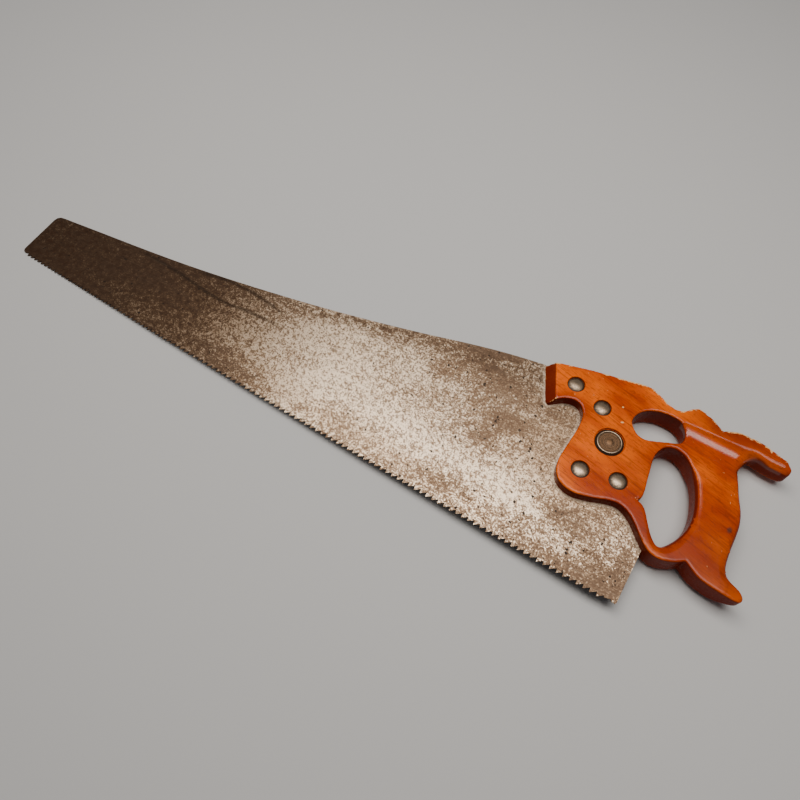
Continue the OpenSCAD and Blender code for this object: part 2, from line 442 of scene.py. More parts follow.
# How far the horns' tips are swollen or thinned, and how deep the bolts' seats are
SWELL_BELOW, SWELL_ABOVE = 4.6, 1.6
THIN_BELOW, THIN_ABOVE = 10.5, 1.0
HEAD_SEAT, NUT_SEAT = 2.2, 2.8


def bolt_axes():
    """Each bolt's axis, its head's seat radius and its nut's seat radius, in metres."""
    rows = []
    for name in SAW_BOLTS + ("medallion",):
        at = middle(f"{name}_bolt")
        head_low, head_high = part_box(f"{name}_bolt")
        nut_low, nut_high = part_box(f"{name}_nut")
        gap = 0.4 if name != "medallion" else 0.9
        rows.append(
            (at, (head_high.x - head_low.x) / 2 + gap * MM, (nut_high.x - nut_low.x) / 2 + 0.4 * MM)
        )
    return rows


def close_bolt_holes(piece):
    """Takes out the seats and bores of the bolts, and closes the cheeks over them."""
    centres = face_values(piece, "center")
    facing = np.abs(face_values(piece, "normal")[:, 2])
    inside = np.zeros(len(centres), bool)
    for at, head_r, nut_r in bolt_axes():
        off = np.hypot(centres[:, 0] - at.x, centres[:, 1] - at.y)
        on_cheek = (facing > 0.9) & (
            (centres[:, 2] > CHEEKS[1] - 0.1 * MM) | (centres[:, 2] < CHEEKS[0] + 0.1 * MM)
        )
        inside |= (off < max(head_r, nut_r) + 0.05 * MM) & ~on_cheek
    pick(piece, "polygons", inside)
    bpy.ops.mesh.delete(type="FACE")
    work_on(piece)
    for at, _, _ in bolt_axes():
        for cheek in CHEEKS:
            co, ends = points(piece), edge_ends(piece)
            near = (np.hypot(co[:, 0] - at.x, co[:, 1] - at.y) < 14 * MM) & (
                np.abs(co[:, 2] - cheek) < 0.05 * MM
            )
            pick(piece, "edges", open_edges(piece) & near[ends].all(1))
            bpy.ops.mesh.edge_face_add()
            work_on(piece)


def half_of(piece, name, side):
    """One cheek's half of the handle, cut clear of the slot and drawn out past its middle."""
    half = new_object(name, piece.data.copy())
    cut = HEEL.z + side * SLOT_HALF * MM
    pick_all(half)
    bpy.ops.mesh.bisect(
        plane_co=(0, 0, cut), plane_no=(0, 0, 1), clear_inner=side > 0, clear_outer=side < 0
    )
    work_on(half)
    ends = edge_ends(half)
    rim = np.abs(points(half)[:, 2] - cut) < 0.01 * MM
    pick(half, "edges", open_edges(half) & rim[ends].all(1))
    bpy.ops.mesh.extrude_edges_move(
        TRANSFORM_OT_translate={"value": (0, 0, -side * (SLOT_HALF + 0.3) * MM)}
    )
    work_on(half)
    return half


def groove_height(x, y):
    """Height of the left-hand cheek, lower inside the thumb groove, in millimetres."""
    along = (x - GROOVE_FROM[0]) / (GROOVE_TO[0] - GROOVE_FROM[0])
    axis_y = GROOVE_FROM[1] + along * (GROOVE_TO[1] - GROOVE_FROM[1])
    axis_z = GROOVE_FROM[2] + along * (GROOVE_TO[2] - GROOVE_FROM[2])
    hollow = axis_z - np.sqrt(np.maximum(GROOVE_R**2 - (y - axis_y) ** 2, 0))
    inside = (np.abs(y - axis_y) < GROOVE_R) & (x > GROOVE_FROM[0])
    return np.where(inside, np.minimum(LEFT_CHEEK, hollow), LEFT_CHEEK)


def rounding_at(x, y, wood):
    """Radius of the rounded edge along the walls of the handle, in millimetres."""
    grip, hole = wood.grip_round / MM, wood.hole_round / MM
    back = (x > 38) * (y < 179.5) * smooth_step(y, 54, 66)
    back = back * np.where(y > 172, 1 - smooth_step(x, 49, 60), 1)
    horn = 3.2 * smooth_step(x, 46, 56) * smooth_step(y, 170, 176) * (y < 180.5)
    in_hole = (np.abs(x) < 30) & (y > 57) & (y < 147)
    finger = in_hole * smooth_step(x, -8, 8) * (1 - smooth_step(y, 128, 142))
    low = in_hole * smooth_step(x, 6, 14) * (1 - smooth_step(y, 62, 84))
    top = in_hole * smooth_step(y, 132, 142) * smooth_step(x, -24, -18)
    under = 4.6 * smooth_step(x, 50, 62) * (y > 165) * (y < 180.5)
    upper_tip = 5.2 * smooth_step(x, 72, 79) * (y > 160)
    lower_tip = 2.2 * smooth_step(x, 70, 78) * (y < 70)
    return np.maximum.reduce(
        [grip * back, hole * finger + 2.5 * low, 2.2 * top, horn, under, upper_tip, lower_tip]
    )


def swell_horns(piece):
    """Swells the upper horn towards its tip, and thins the lower horn to its tip from below."""
    local = from_heel(piece)
    x, y, z = local.T
    below = SWELL_BELOW * smooth_step(x, 50, 65) * (1 - smooth_step(y, 177, 185.5))
    above = SWELL_ABOVE * smooth_step(x, 70, 78) * smooth_step(y, 180, 185)
    local[:, 1] += np.where((y > 168) & (x > 50), above - below, 0)
    thin = smooth_step(x, 58, 81) ** 1.5 * (y < 84)
    share = (LEFT_CHEEK - z) / (LEFT_CHEEK - RIGHT_CHEEK)
    local[:, 2] += thin * share * THIN_BELOW - thin * (1 - share) * THIN_ABOVE
    put_from_heel(piece, local)


def groove_lip(piece):
    """Where the lower lip of the thumb groove is rubbed away, more towards the notch."""
    x, y, z = from_heel(piece).T
    off = np.abs(y - 152.5) / (4.5 + 2.5 * smooth_step(x, 0, 40))
    lip = np.clip(1.35 - off, 0, 1) * smooth_step(x, -14, 6) * (1 - smooth_step(x, 50, 60))
    notch = np.clip(1.4 - np.hypot(x - 46, y - 166) / 14, 0, 1)
    tips = 0.25 * smooth_step(x, 74, 80) * (y > 160) + 0.15 * smooth_step(x, 74, 80) * (y < 70)
    return np.maximum(np.maximum(lip, notch) * (z > 0), tips)


LEAST_ROUND, MOST_ROUND = 0.4, 10  # the radii that round_edges looks for, in millimetres


def round_edges(piece, wood):
    """Moves the points near the cheeks' edges on to a round, where rounding_at gives one."""
    local = from_heel(piece)
    facing = normals(piece)
    wall = (np.abs(facing[:, 2]) < 0.3) & (np.abs(local[:, 2]) < 3)
    tree = KDTree(int(wall.sum()))
    wall_points = local[wall].copy()
    wall_points[:, 2] = 0
    for i, p in enumerate(wall_points):
        tree.insert(p, i)
    tree.balance()
    flat = local.copy()
    flat[:, 2] = 0
    region = (local[:, 0] > -30) & (local[:, 1] > 50) & (local[:, 1] < 186)
    for i in np.nonzero(region)[0]:
        nearest, _, off = tree.find(flat[i])
        if off >= MOST_ROUND:
            continue
        radius = float(rounding_at(np.array(nearest.x), np.array(nearest.y), wood))
        if radius < LEAST_ROUND:
            continue
        top = float(groove_height(local[i, 0], local[i, 1]))
        upper = local[i, 2] > 0
        depth = max(top - local[i, 2] if upper else local[i, 2] - RIGHT_CHEEK, 0.0)
        if off >= radius or depth >= radius:
            continue
        back = Vector((off - radius, depth - radius))
        if back.length < 1e-6:
            continue
        new = Vector((radius, radius)) + back * (radius / back.length)
        inward = Vector(flat[i]) - nearest
        if inward.length > 0.05:
            inward.normalize()
        else:
            inward = -Vector((facing[i, 0], facing[i, 1], 0))
            if inward.length < 0.2:
                continue
            inward.normalize()
        step = new[0] - off
        local[i, 0] += inward.x * step
        local[i, 1] += inward.y * step
        local[i, 2] += (depth - new[1]) if upper else (new[1] - depth)
    put_from_heel(piece, local)


def edges_of(piece):
    """How sharply a mesh bends at each point: 0 where it is flat or well rounded, 1 on an edge."""
    facing, ends = normals(piece), edge_ends(piece)
    turn = np.degrees(np.arccos(np.clip((facing[ends[:, 0]] * facing[ends[:, 1]]).sum(1), -1, 1)))
    bend = np.zeros(len(facing))
    np.maximum.at(bend, ends[:, 0], turn)
    np.maximum.at(bend, ends[:, 1], turn)
    return smooth_step(bend, 10, 24)


def weight_group(piece, name, weights):
    group = piece.vertex_groups.new(name=name)
    steps = np.round(np.clip(weights, 0, 1) * 20).astype(int)
    for step in range(1, 21):
        chosen = np.nonzero(steps == step)[0]
        if len(chosen):
            group.add([int(i) for i in chosen], step / 20, "REPLACE")
    return group


# Chips out of the edges: x and y from the heel and the size, in millimetres
CHIPS = (
    (-21, 85.3, 2.2), (-10, 193, 3.0), (-32, 184.6, 3.2), (18.5, 184.6, 2.6), (41, 191.3, 2.4),
    (80, 181, 3.4), (-58, 152, 2.0), (33, 146, 2.4), (-126, 135.5, 2.4), (60, 187.8, 2.2),
    (79, 54, 3.0), (-44, 190.3, 2.6), (3, 193, 2.2), (-88, 186, 1.8),
)


def chip_edges(piece):
    """Nicks the edges at the chips, and gives every edge a slight unevenness."""
    x, y, _ = from_heel(piece).T
    edge = edges_of(piece)
    weights = edge * 0.22
    for chip_x, chip_y, size in CHIPS:
        off = np.hypot(x - chip_x, y - chip_y)
        weights = np.maximum(weights, edge * np.clip(1.3 - off / size, 0, 1))
    weight_group(piece, "chips", weights)
    texture = bpy.data.textures.new("chips", "CLOUDS")
    texture.noise_scale = 2.2 * MM
    texture.noise_depth = 1
    apply_modifier(
        piece, "DISPLACE", texture=texture, texture_coords="LOCAL", vertex_group="chips",
        strength=-1.1 * MM, mid_level=0.0,
    )


def cut_seats(piece):
    """Cuts the seats of the heads and nuts again, with clean edges, and the blade's slot."""
    for at, head_r, nut_r in bolt_axes():
        left = CHEEKS[1] - (HEAD_SEAT * MM)
        right = CHEEKS[0] + (NUT_SEAT * MM)
        for radius, low, high in ((head_r, left, CHEEKS[1] + MM), (nut_r, CHEEKS[0] - MM, right)):
            bpy.ops.object.select_all(action="DESELECT")
            centre = (at.x, at.y, (low + high) / 2)
            bpy.ops.mesh.primitive_cylinder_add(
                vertices=72, radius=radius, depth=high - low, location=centre
            )
            cutter = bpy.context.object
            cutter.name = "seat"
            settle(cutter)
            carve(piece, cutter)
    slot = copied("blade", "slot")
    pick_all(slot)
    bpy.ops.mesh.bisect(
        plane_co=at_heel(-170, 0), plane_no=(1, 0, 0), clear_inner=True, use_fill=True
    )
    bpy.ops.mesh.select_all(action="SELECT")
    bpy.ops.transform.shrink_fatten(value=0.05 * MM, use_even_offset=True)
    work_on(slot)
    carve(piece, slot)


def walls_of(piece):
    """How far each point faces sideways, which sets the painted shade on the sides and their
    thinner varnish. The back of the grip and the hand hole get more of it. The end grain of the
    nose bevel counts as a wall in full; its darkness is partly end grain and partly painted shade.
    """
    wall = 1 - np.abs(normals(piece)[:, 2])
    x, y, _ = from_heel(piece).T
    in_hole = (np.abs(x) < 30) & (y > 60) & (y < 147)
    # The back of the grip and the hand hole get more painted shade on their sides
    shaded_more = smooth_step(x, 26, 40) * (y > 54) * (y < 160) + in_hole
    wall = np.clip(wall * (1 + 1.5 * np.clip(shaded_more, 0, 1)), 0, 1)
    return np.where((x < -95) & (wall > 0.25), 1.0, wall)


def polish_of(piece):
    """How much the hand has polished each point: most of all in the thumb groove."""
    x, y, z = from_heel(piece).T
    sunk = smooth_step(LEFT_CHEEK - z, 0.15, 1.2) * (z > 2) * (x > -14) * (x < 74)
    return sunk * smooth_step(y, 144, 150) * (y < 184)


def wear_of(piece):
    """How worn each point of the handle is: on its edges, most at the chips and the horns."""
    x, y, _ = from_heel(piece).T
    facing_y, facing_z = normals(piece).T[1:]
    tilt = np.abs(facing_z)
    edge = edges_of(piece)
    wide, ends = edge.copy(), edge_ends(piece)
    np.maximum.at(wide, ends[:, 0], 0.85 * edge[ends[:, 1]])
    np.maximum.at(wide, ends[:, 1], 0.85 * edge[ends[:, 0]])
    edge = np.where((y > 168) | (x < -110), wide, edge)
    crown = np.where(x > 50, smooth_step(y, 168, 173), smooth_step(y, 176, 182))
    nose = 1 - smooth_step(x, -128, -100)
    lower = 0.25 * (1 - smooth_step(y, 66, 76)) * (1 - smooth_step(x, 20, 40))
    zone = np.clip(0.25 + 0.75 * np.maximum.reduce([crown, nose, lower]), 0, 1)
    zone *= 1 - 0.85 * (x > 30) * smooth_step(y, 60, 70) * (1 - smooth_step(y, 168, 176))
    on_wall = 1 - smooth_step(tilt, 0.12, 0.35)
    wear = edge * zone * 0.75 * (1 - 0.6 * on_wall)
    for chip_x, chip_y, size in CHIPS:
        off = np.hypot(x - chip_x, y - chip_y)
        chipped = np.clip(1.4 - off / size, 0, 1) * (0.35 + 0.65 * edge)
        wear = np.maximum(wear, chipped * (1 - 0.7 * on_wall))
    on_round = smooth_step(tilt, 0.30, 0.55) * (1 - smooth_step(tilt, 0.80, 0.95))
    upper_horn = smooth_step(x, 52, 76) * (y > 166) * (facing_y > -0.3) * 0.68
    lower_horn = smooth_step(x, 62, 78) * (1 - smooth_step(y, 60, 70)) * 0.52
    return np.maximum(wear, on_round * np.maximum(upper_horn, lower_horn))


# Painted shade on the lower horn and the lower band, where the light falls off, and darker patches
# on the grip, round the hand hole and along the top: x, y from the toe, two sizes, turn and amount
SHADE_AND_DARKER_PATCHES = (
    (722, 62, 64, 48, 0, 0.85), (650, 60, 55, 24, 0, 0.5), (706, 120, 34, 60, 0, 0.30),
    (712, 184, 50, 18, -8, 0.55), (675, 187, 42, 16, 0, 0.80), (640, 112, 34, 60, 0, 0.25),
)
GRAIN_RUN = math.radians(-12)
# Red-brown of the painted shade on the handle's sides
WALL_SHADE_RED = (0.17, 0.010, 0.0003)
STAIN = (0.03, 0.028, 0.024)


def wood_material(wood):
    """Fine-grained wood under an old glossy varnish, worn pale at the edges."""
    f = Finish("varnished_wood")
    broad = f.noise(30, 2.0, stretch=(2.0, 1.0), turn=GRAIN_RUN)
    streaks = f.noise(1.8, 4.0, 0.6, 0.3, (18, 1.0), GRAIN_RUN)
    fine = f.noise(0.7, 2.0, 0.6, stretch=(9, 1.0), turn=GRAIN_RUN)
    blotch = f.noise(4.5, 3.0, 0.6)

    base = f.mixed(f.ranged(broad, 0.32, 0.70), wood.deep, wood.light)
    # Painted shade on the lower parts of the handle, and darker patches elsewhere
    base = f.mixed(f.patches(SHADE_AND_DARKER_PATCHES), base, darker(wood.deep, 0.62))
    for marks, low, high, most in (
        (streaks, 0.48, 0.72, 0.50), (blotch, 0.50, 0.78, 0.42), (fine, 0.54, 0.74, 0.55),
    ):
        base = f.mixed(f.ranged(marks, low, high, 0, most), base, darker(wood.deep, 0.30))
    wall = f.attribute("wall")
    # Painted shade on the sides, strongest on the nose bevel, the back of the grip and in the hand
    # hole
    base = f.mixed(f.ranged(wall, 0.45, 0.95, 0, 0.90), base, WALL_SHADE_RED)
    stain = f.patch(at_heel(53, 100), (4, 5))
    base = f.mixed(f.ranged(stain, 0.2, 0.8, 0, 0.7), base, STAIN)

    # Varnish lost along the edges, fine scuffs all over and two nicks in the cheek
    spared = f.ranged(f.noise(8, 2.0, 0.5), 0.36, 0.60, 0.45, 1.05)
    worn = f.times(f.attribute("worn"), spared)
    lost = f.ranged(f.total(f.noise(1.6, 3.0, 0.65), (worn, 0.62)), 0.80, 0.98)
    scuffs = f.ranged(f.noise(1.1, 1.0, 0.5, stretch=(1.0, 3.5), turn=0.6), 0.765, 0.82, 0, 0.6)
    nicks = f.most(
        f.patch(at_heel(-58.5, 144.5), (2.2, 1.2), 0.5), f.patch(at_heel(-64, 159), (1.4, 1.2))
    )
    bare = f.most(lost, f.most(scuffs, f.ranged(nicks, 0.2, 0.5)))

    rough = f.ranged(blotch, 0.30, 0.75, wood.gloss, wood.gloss + 0.14)
    varnish = f.ranged(wall, 0.2, 0.8, 0.38, 0.0)
    pores = f.bump(fine, 0.25, 0.05)
    waves = f.bump(f.noise(3.5, 2.0, 0.5), 0.30, 0.12, pores)
    return f.done({
        "Base Color": f.mixed(bare, base, wood.bare),
        "Roughness": f.total(rough, (bare, 0.35), clamp=True),
        "Specular IOR Level": 0.05,
        "Coat Weight": f.total(varnish, (f.attribute("polish"), 0.62), clamp=True),
        "Coat Roughness": 0.16,
        "Normal": f.bump(bare, 0.5, -0.10, waves),
    })


class HANDSAW_OT_handle(bpy.types.Operator):
    """Carve the wooden handle: rounded grip, hand hole, thumb groove, chipped and worn edges"""

    bl_idname = "handsaw.handle"
    bl_label = "Handle"
    bl_options = {"REGISTER", "UNDO"}

    def execute(self, context):
        wood = context.scene.handsaw_wood
        whole = copied("handle", "whole")
        close_bolt_holes(whole)
        handle = join([half_of(whole, "wooden_handle", 1), half_of(whole, "right_half", -1)])
        bpy.data.objects.remove(whole)
        apply_modifier(handle, "REMESH", mode="VOXEL", voxel_size=wood.mesh_size, adaptivity=0)
        round_edges(handle, wood)
        swell_horns(handle)
        weight_group(handle, "lip", groove_lip(handle))
        apply_modifier(handle, "SMOOTH", factor=0.5, iterations=130, vertex_group="lip")
        apply_modifier(handle, "SMOOTH", factor=0.5, iterations=3)
        chip_edges(handle)
        write_attribute(handle, "worn", wear_of(handle))
        write_attribute(handle, "wall", walls_of(handle))
        write_attribute(handle, "polish", polish_of(handle))
        cut_seats(handle)
        finish_piece(handle, ["handle"], wood_material(wood), math.radians(46))
        return {"FINISHED"}


# ---- Blade ----

FIRST_ROOT = 13.2  # the roots and tips of the teeth lie between these distances from the toe's end
LAST_ROOT = 672.0
TEETH_HIGH = 7.2  # and this far above the lowest tip


# Patches of the blade's finish: x, y from the toe, two sizes, turn and amount
DARK_PATCHES = (
    (480, 134, 52, 30, 15, 0.55), (435, 117, 26, 18, 0, 0.40), (470, 158, 62, 11, 17, 0.95),
    (520, 97, 30, 12, 5, 0.45), (590, 44, 32, 13, -10, 0.50), (505, 70, 18, 12, 0, 0.35),
    (648, 10, 42, 24, 0, 0.55), (600, 4, 70, 12, 0, 0.40), (285, 8, 75, 20, 0, 0.35),
    (400, 148, 60, 9, 16, 0.45), (618, 36, 17, 14, 0, 0.40), (545, 148, 26, 30, -20, 0.30),
    (655, 40, 14, 40, 0, 0.30), (85, 34, 18, 12, 0, 0.35), (130, 42, 16, 8, 0, 0.30),
)
# Cleaner steel in the middle of the blade, partly a painted highlight where the blade mirrors the
# softbox
CLEAN_AND_HIGHLIGHT_PATCHES = (
    (345, 60, 110, 62, 10, 0.30), (430, 45, 100, 42, 0, 0.25), (500, 48, 80, 30, 0, 0.20),
    (560, 32, 70, 22, 0, 0.22), (455, 100, 60, 26, 10, 0.15), (310, 92, 50, 16, 10, 0.15),
    (560, 62, 60, 25, 0, 0.15), (618, 34, 9, 8, 0, 0.25),
)
TAN_PATCHES = (
    (560, 100, 60, 60, 0, 0.9), (600, 60, 50, 30, 0, 0.6), (150, 40, 150, 50, 5, 0.7),
    (40, 30, 70, 45, 0, 0.8), (420, 12, 120, 14, 0, 0.5), (300, 20, 60, 20, 0, 0.5),
)
# Painted shade along the back, where the steel no longer mirrors the softbox
SHADED_BACK_PATCHES = (
    (360, 122, 130, 22, 14, 0.75), (500, 152, 100, 22, 15, 0.7), (240, 88, 130, 22, 14, 0.5),
    (560, 150, 60, 40, 15, 0.4), (620, 20, 70, 30, 0, 0.3),
)
# Tint of the painted shade towards the toe and along the back
PAINTED_SHADE_TINT = (0.29, 0.240, 0.200)
OCHRE = (0.36, 0.185, 0.060)

# Two thin dark lines that run towards the toe near the back: their points from the toe
DARK_LINES = (
    ((95, 68.5), (150, 67), (215, 63.5), (238, 67), (292, 70.5)),
    ((165, 79), (180, 82), (205, 87), (250, 86.5), (282, 80)),
)
LINES_LOW, LINES_HIGH = 60, 100  # the heights that they lie between


def between(a, b, amount):
    """A colour between two others."""
    return tuple((1 - amount) * x + amount * y for x, y in zip(a, b))


def dark_line(f, rows, along, up, cloud):
    """A soft wavering line through some points, faded at its ends."""
    start, end = rows[0][0], rows[-1][0]
    t = f.maths("DIVIDE", f.less(along, start * MM), (end - start) * MM)
    height = f.node("FloatCurve", {"Value": t})
    curve = height.node.mapping.curves[0]
    for i, (x, y) in enumerate(rows):
        place = ((x - start) / (end - start), (y - LINES_LOW) / (LINES_HIGH - LINES_LOW))
        if i in (0, len(rows) - 1):
            curve.points[0 if i == 0 else -1].location = place
        else:
            curve.points.new(*place)
    height.node.mapping.update()
    target = f.total(at_toe(0, LINES_LOW).y, (height, (LINES_HIGH - LINES_LOW) * MM))
    waver = f.total(f.less(target, 1.5 * MM), (cloud, 3 * MM))
    off = f.maths("ABSOLUTE", f.less(up, waver))
    fade = f.times(f.ranged(t, 0.0, 0.12), f.ranged(t, 0.82, 1.0, 1.0, 0.0))
    return f.times(f.ranged(off, 0.2 * MM, 3.2 * MM, 1.0, 0.0), fade)


def pit_dots(f, along, grit):
    """Small sharp pits in two sizes, thicker in the heel's half."""
    many = f.ranged(along, 0.33, 0.50, 0.0, 1.0)
    ragged = f.total(-0.55 * MM, (grit, 1.1 * MM))
    wander = f.node("TexNoise", {"Vector": f.where, "Scale": 1000 / 2.6}, "Color")
    shifted = f.node(
        "VectorMath", {0: wander, 1: (3.2 * MM,) * 3, 2: f.where}, operation="MULTIPLY_ADD"
    )
    dots = 0.0
    for size, most in ((3.0, 0.9), (5.5, 1.5)):
        off = f.node("TexVoronoi", {"Vector": shifted, "Scale": 1000 / size}, "Distance")
        luck = f.node("SeparateXYZ", {0: off.node.outputs["Color"]}, "X")
        reach = f.ranged(f.total(luck, (many, 0.20)), 0.72, 1.15, 0, most / size)
        reach = f.total(reach, (ragged, 1.1 / (size * MM)))
        dot = f.ranged(f.less(reach, off), 0.0, 0.35 / size)
        dots = f.most(dots, dot)
    return dots


def steel_material(steel):
    """Old saw steel: bright in its middle, brown at toe and heel, with pits, spots and streaks."""
    f = Finish("aged_saw_steel")
    along = f.less(f.node("SeparateXYZ", {0: f.where}, "X"), at_toe(0, 0).x)
    up = f.node("SeparateXYZ", {0: f.where}, "Y")
    cloud = f.noise(40, 3.0, 0.55, 0.4, (2.2, 1.0), 0.15)
    mottle = f.noise(6.0, 5.0, 0.66, 0.3)
    grit = f.noise(1.7, 4.0, 0.70, 0.2)

    # How brown the skin is
    toe_brown = f.ranged(along, 0.05, 0.33, 0.45, 0.0)
    dark = f.maths("ADD", f.patches(DARK_PATCHES), toe_brown)
    # The clean patches also paint the highlight where the middle of the blade mirrors the softbox
    level = f.times(f.less(dark, f.patches(CLEAN_AND_HIGHLIGHT_PATCHES)), 0.17)
    level = f.total(level, (cloud, 0.22), (mottle, 0.28), (grit, 0.50))
    skin = f.ranged(level, 0.44, 0.62)

    tan = between(steel.bright, OCHRE, 0.65)
    tan_share = f.times(f.patches(TAN_PATCHES), f.ranged(cloud, 0.3, 0.6, 0.5, 1.0), clamp=True)
    rusty = f.times(f.ranged(along, 0.02, 0.12, 0.75, 0.12), f.ranged(mottle, 0.45, 0.65, 0.2, 1.0))
    brown = f.mixed(rusty, steel.patina, steel.rust)
    base = f.mixed(tan_share, steel.bright, tan)
    base = f.mixed(f.ranged(skin, 0.0, 0.5), base, between(tan, steel.patina, 0.68))
    base = f.mixed(f.ranged(skin, 0.45, 1.0), base, brown)

    # Fine dark flecks, fewer where the steel is clean, and fine tan ones
    fleck = f.noise(2.1, 3.0, 0.7, stretch=(1.3, 1.0), turn=-0.7)
    fleck = f.total(fleck, (level, 0.35))
    base = f.mixed(f.ranged(fleck, 0.670, 0.725, 0.0, 0.85), base, steel.patina)
    glint = f.noise(1.9, 3.0, 0.7, stretch=(1.6, 1.0), turn=0.3)
    glints = f.times(f.ranged(glint, 0.54, 0.70), f.ranged(along, 0.05, 0.30, 0.22, 0.6))
    base = f.mixed(glints, base, tan)

    blots = f.total(f.noise(4.2, 3.0, 0.62, 0.2), (dark, 0.05))
    pits = f.most(f.ranged(blots, 0.67, 0.73), pit_dots(f, along, grit))
    base = f.mixed(pits, base, steel.pits)

    lines = f.most(*(dark_line(f, rows, along, up, cloud) for rows in DARK_LINES))
    lines = f.times(lines, f.ranged(grit, 0.3, 0.55, 0.45, 0.85))
    base = f.mixed(lines, base, darker(steel.patina, 0.45))

    # The steel is lighter in a narrow band round the handle
    band = f.times(f.attribute("by_handle"), f.ranged(grit, 0.35, 0.60, 0.9, 0.30))
    base = f.mixed(band, base, steel.bright)

    scratch = f.noise(0.9, 2.0, 0.5, stretch=(60, 1.0), turn=0.08)
    cross = f.noise(1.6, 1.0, 0.5, stretch=(45, 1.0), turn=1.2)
    base = f.mixed(f.ranged(scratch, 0.55, 0.75, 0.0, 0.30), base, darker(steel.bright, 0.45))

    # Painted shade: darker and browner towards the toe, and along the back near the handle, where
    # the steel no longer mirrors the softbox
    towards_toe = f.ranged(f.total(along, (cloud, 0.06)), 0.21, 0.42, 1.0, 0.0)
    towards_toe = f.times(towards_toe, f.ranged(mottle, 0.40, 0.62, 0.86, 1.0))
    at_back = f.times(f.patches(SHADED_BACK_PATCHES), f.ranged(mottle, 0.42, 0.58, 0.45, 1.1))
    base = f.mixed(f.most(towards_toe, at_back, clamp=True), base, PAINTED_SHADE_TINT, "MULTIPLY")

    covered = f.most(skin, pits)
    scratched = f.bump(cross, 0.12, 0.03, f.bump(scratch, 0.20, 0.03))
    return f.done({
        "Base Color": base,
        "Metallic": f.ranged(covered, 0.0, 1.0, 0.95, 0.72),
        "Roughness": f.total(f.ranged(covered, 0.0, 1.0, 0.36, 0.50), (grit, 0.14)),
        "Normal": f.bump(f.less(grit, pits), 0.45, 0.10, scratched),
    })


def draw_sides(blade):
    """Takes the blade's sides off and fills them again, with each tooth a triangle of its own."""
    facing = np.abs(face_values(blade, "normal")[:, 2])
    pick(blade, "polygons", facing > 0.9)
    bpy.ops.mesh.delete(type="ONLY_FACE")
    work_on(blade)
    co = points(blade)
    low = co.min(0)
    tips = []
    triangles = []
    for upper in (True, False):
        teeth = np.nonzero(
            ((co[:, 2] > HEEL.z) == upper)
            & (co[:, 0] > low[0] + FIRST_ROOT * MM)
            & (co[:, 0] < low[0] + LAST_ROOT * MM)
            & (co[:, 1] < low[1] + TEETH_HIGH * MM)
        )[0]
        teeth = teeth[np.argsort(co[teeth, 0])]
        for i in range(0, len(teeth) - 2, 2):
            root, tip, after = teeth[i], teeth[i + 1], teeth[i + 2]
            tips.append((int(tip), i // 2))
            triangles.append((root, after, tip) if upper else (root, tip, after))
    band = [tuple(p.vertices) for p in blade.data.polygons]
    mesh = bpy.data.meshes.new("saw_blade")
    mesh.from_pydata(co.tolist(), [], band + [tuple(int(v) for v in t) for t in triangles])
    blade.data = mesh
    for upper in (True, False):
        side = (points(blade)[:, 2] > HEEL.z) == upper
        pick(blade, "edges", open_edges(blade) & side[edge_ends(blade)].all(1))
        bpy.ops.mesh.fill(use_beauty=True)
        work_on(blade)
    return tips


def grid_near_handle(blade):
    """Cuts a fine grid across the blade where the handle meets it, for the clean band."""
    step = 1.6
    pick_all(blade)
    for x in np.arange(-146, 3, step):
        bpy.ops.mesh.select_all(action="SELECT")
        bpy.ops.mesh.bisect(plane_co=at_heel(x, 0), plane_no=(1, 0, 0))
    for y in np.arange(40, 172, step):
        bpy.ops.mesh.select_all(action="SELECT")
        bpy.ops.mesh.bisect(plane_co=at_heel(0, y), plane_no=(0, 1, 0))
    work_on(blade)


class HANDSAW_OT_blade(bpy.types.Operator):
    """Finish the blade: set teeth, and old steel that is lighter in a narrow band round the handle
    """

    bl_idname = "handsaw.blade"
    bl_label = "Blade"
    bl_options = {"REGISTER", "UNDO"}

    def execute(self, context):
        steel = context.scene.handsaw_steel
        blade = copied("blade", "steel_blade")
        tips = draw_sides(blade)
        co = points(blade)
        for tip, number in tips:
            co[tip, 2] += steel.tooth_set * (1 if number % 2 else -1)
        put_points(blade, co)
        grid_near_handle(blade)
        wood = bpy.data.objects["wooden_handle"]
        tree = BVHTree.FromObject(wood, context.evaluated_depsgraph_get())
        co = points(blade)
        # How much lighter the steel is near the handle
        near = (co[:, 0] > at_heel(-150, 0).x) & (co[:, 1] > at_heel(0, 38).y)
        clean = np.zeros(len(co))
        for i in np.nonzero(near)[0]:
            off = tree.find_nearest(Vector(co[i]), 10 * MM)[3]
            if off is not None:
                clean[i] = 1 - float(smooth_step(np.array(off), 0.8 * MM, 3.2 * MM))
        write_attribute(blade, "by_handle", clean)
        finish_piece(blade, ["blade"], steel_material(steel), math.radians(25))
        return {"FINISHED"}


# ---- Bolts, nuts and medallion ----


# In millimetres: a domed head or nut's straight rim and rise, and the nut's driver slot
HEAD_RIM, HEAD_RISE = 0.9, 1.5
HEAD_HIGH = HEAD_RIM + HEAD_RISE
SLOT_WIDE, SLOT_DEEP = 1.4, 1.1
BEAD = 0.75  # radius of the medallion's bead
RING_HIGH = 0.25  # and the height of the badge's rings


def dome(radius, rim, rise, steps=9, soft=0.25):
    """Profile of a domed head from its edge to its top: a straight rim, a soft edge and a dome."""
    ball = (radius**2 + rise**2) / (2 * rise)
    rows = [(0, 0), (radius - 0.1, 0), (radius, 0.1), (radius, rim - soft / 2)]
    reach = math.asin((radius - soft) / ball)
    for i in range(steps + 1):
        a = reach * (1 - i / steps)
        rows.append((ball * math.sin(a), rim + rise - ball + ball * math.cos(a)))
    return rows


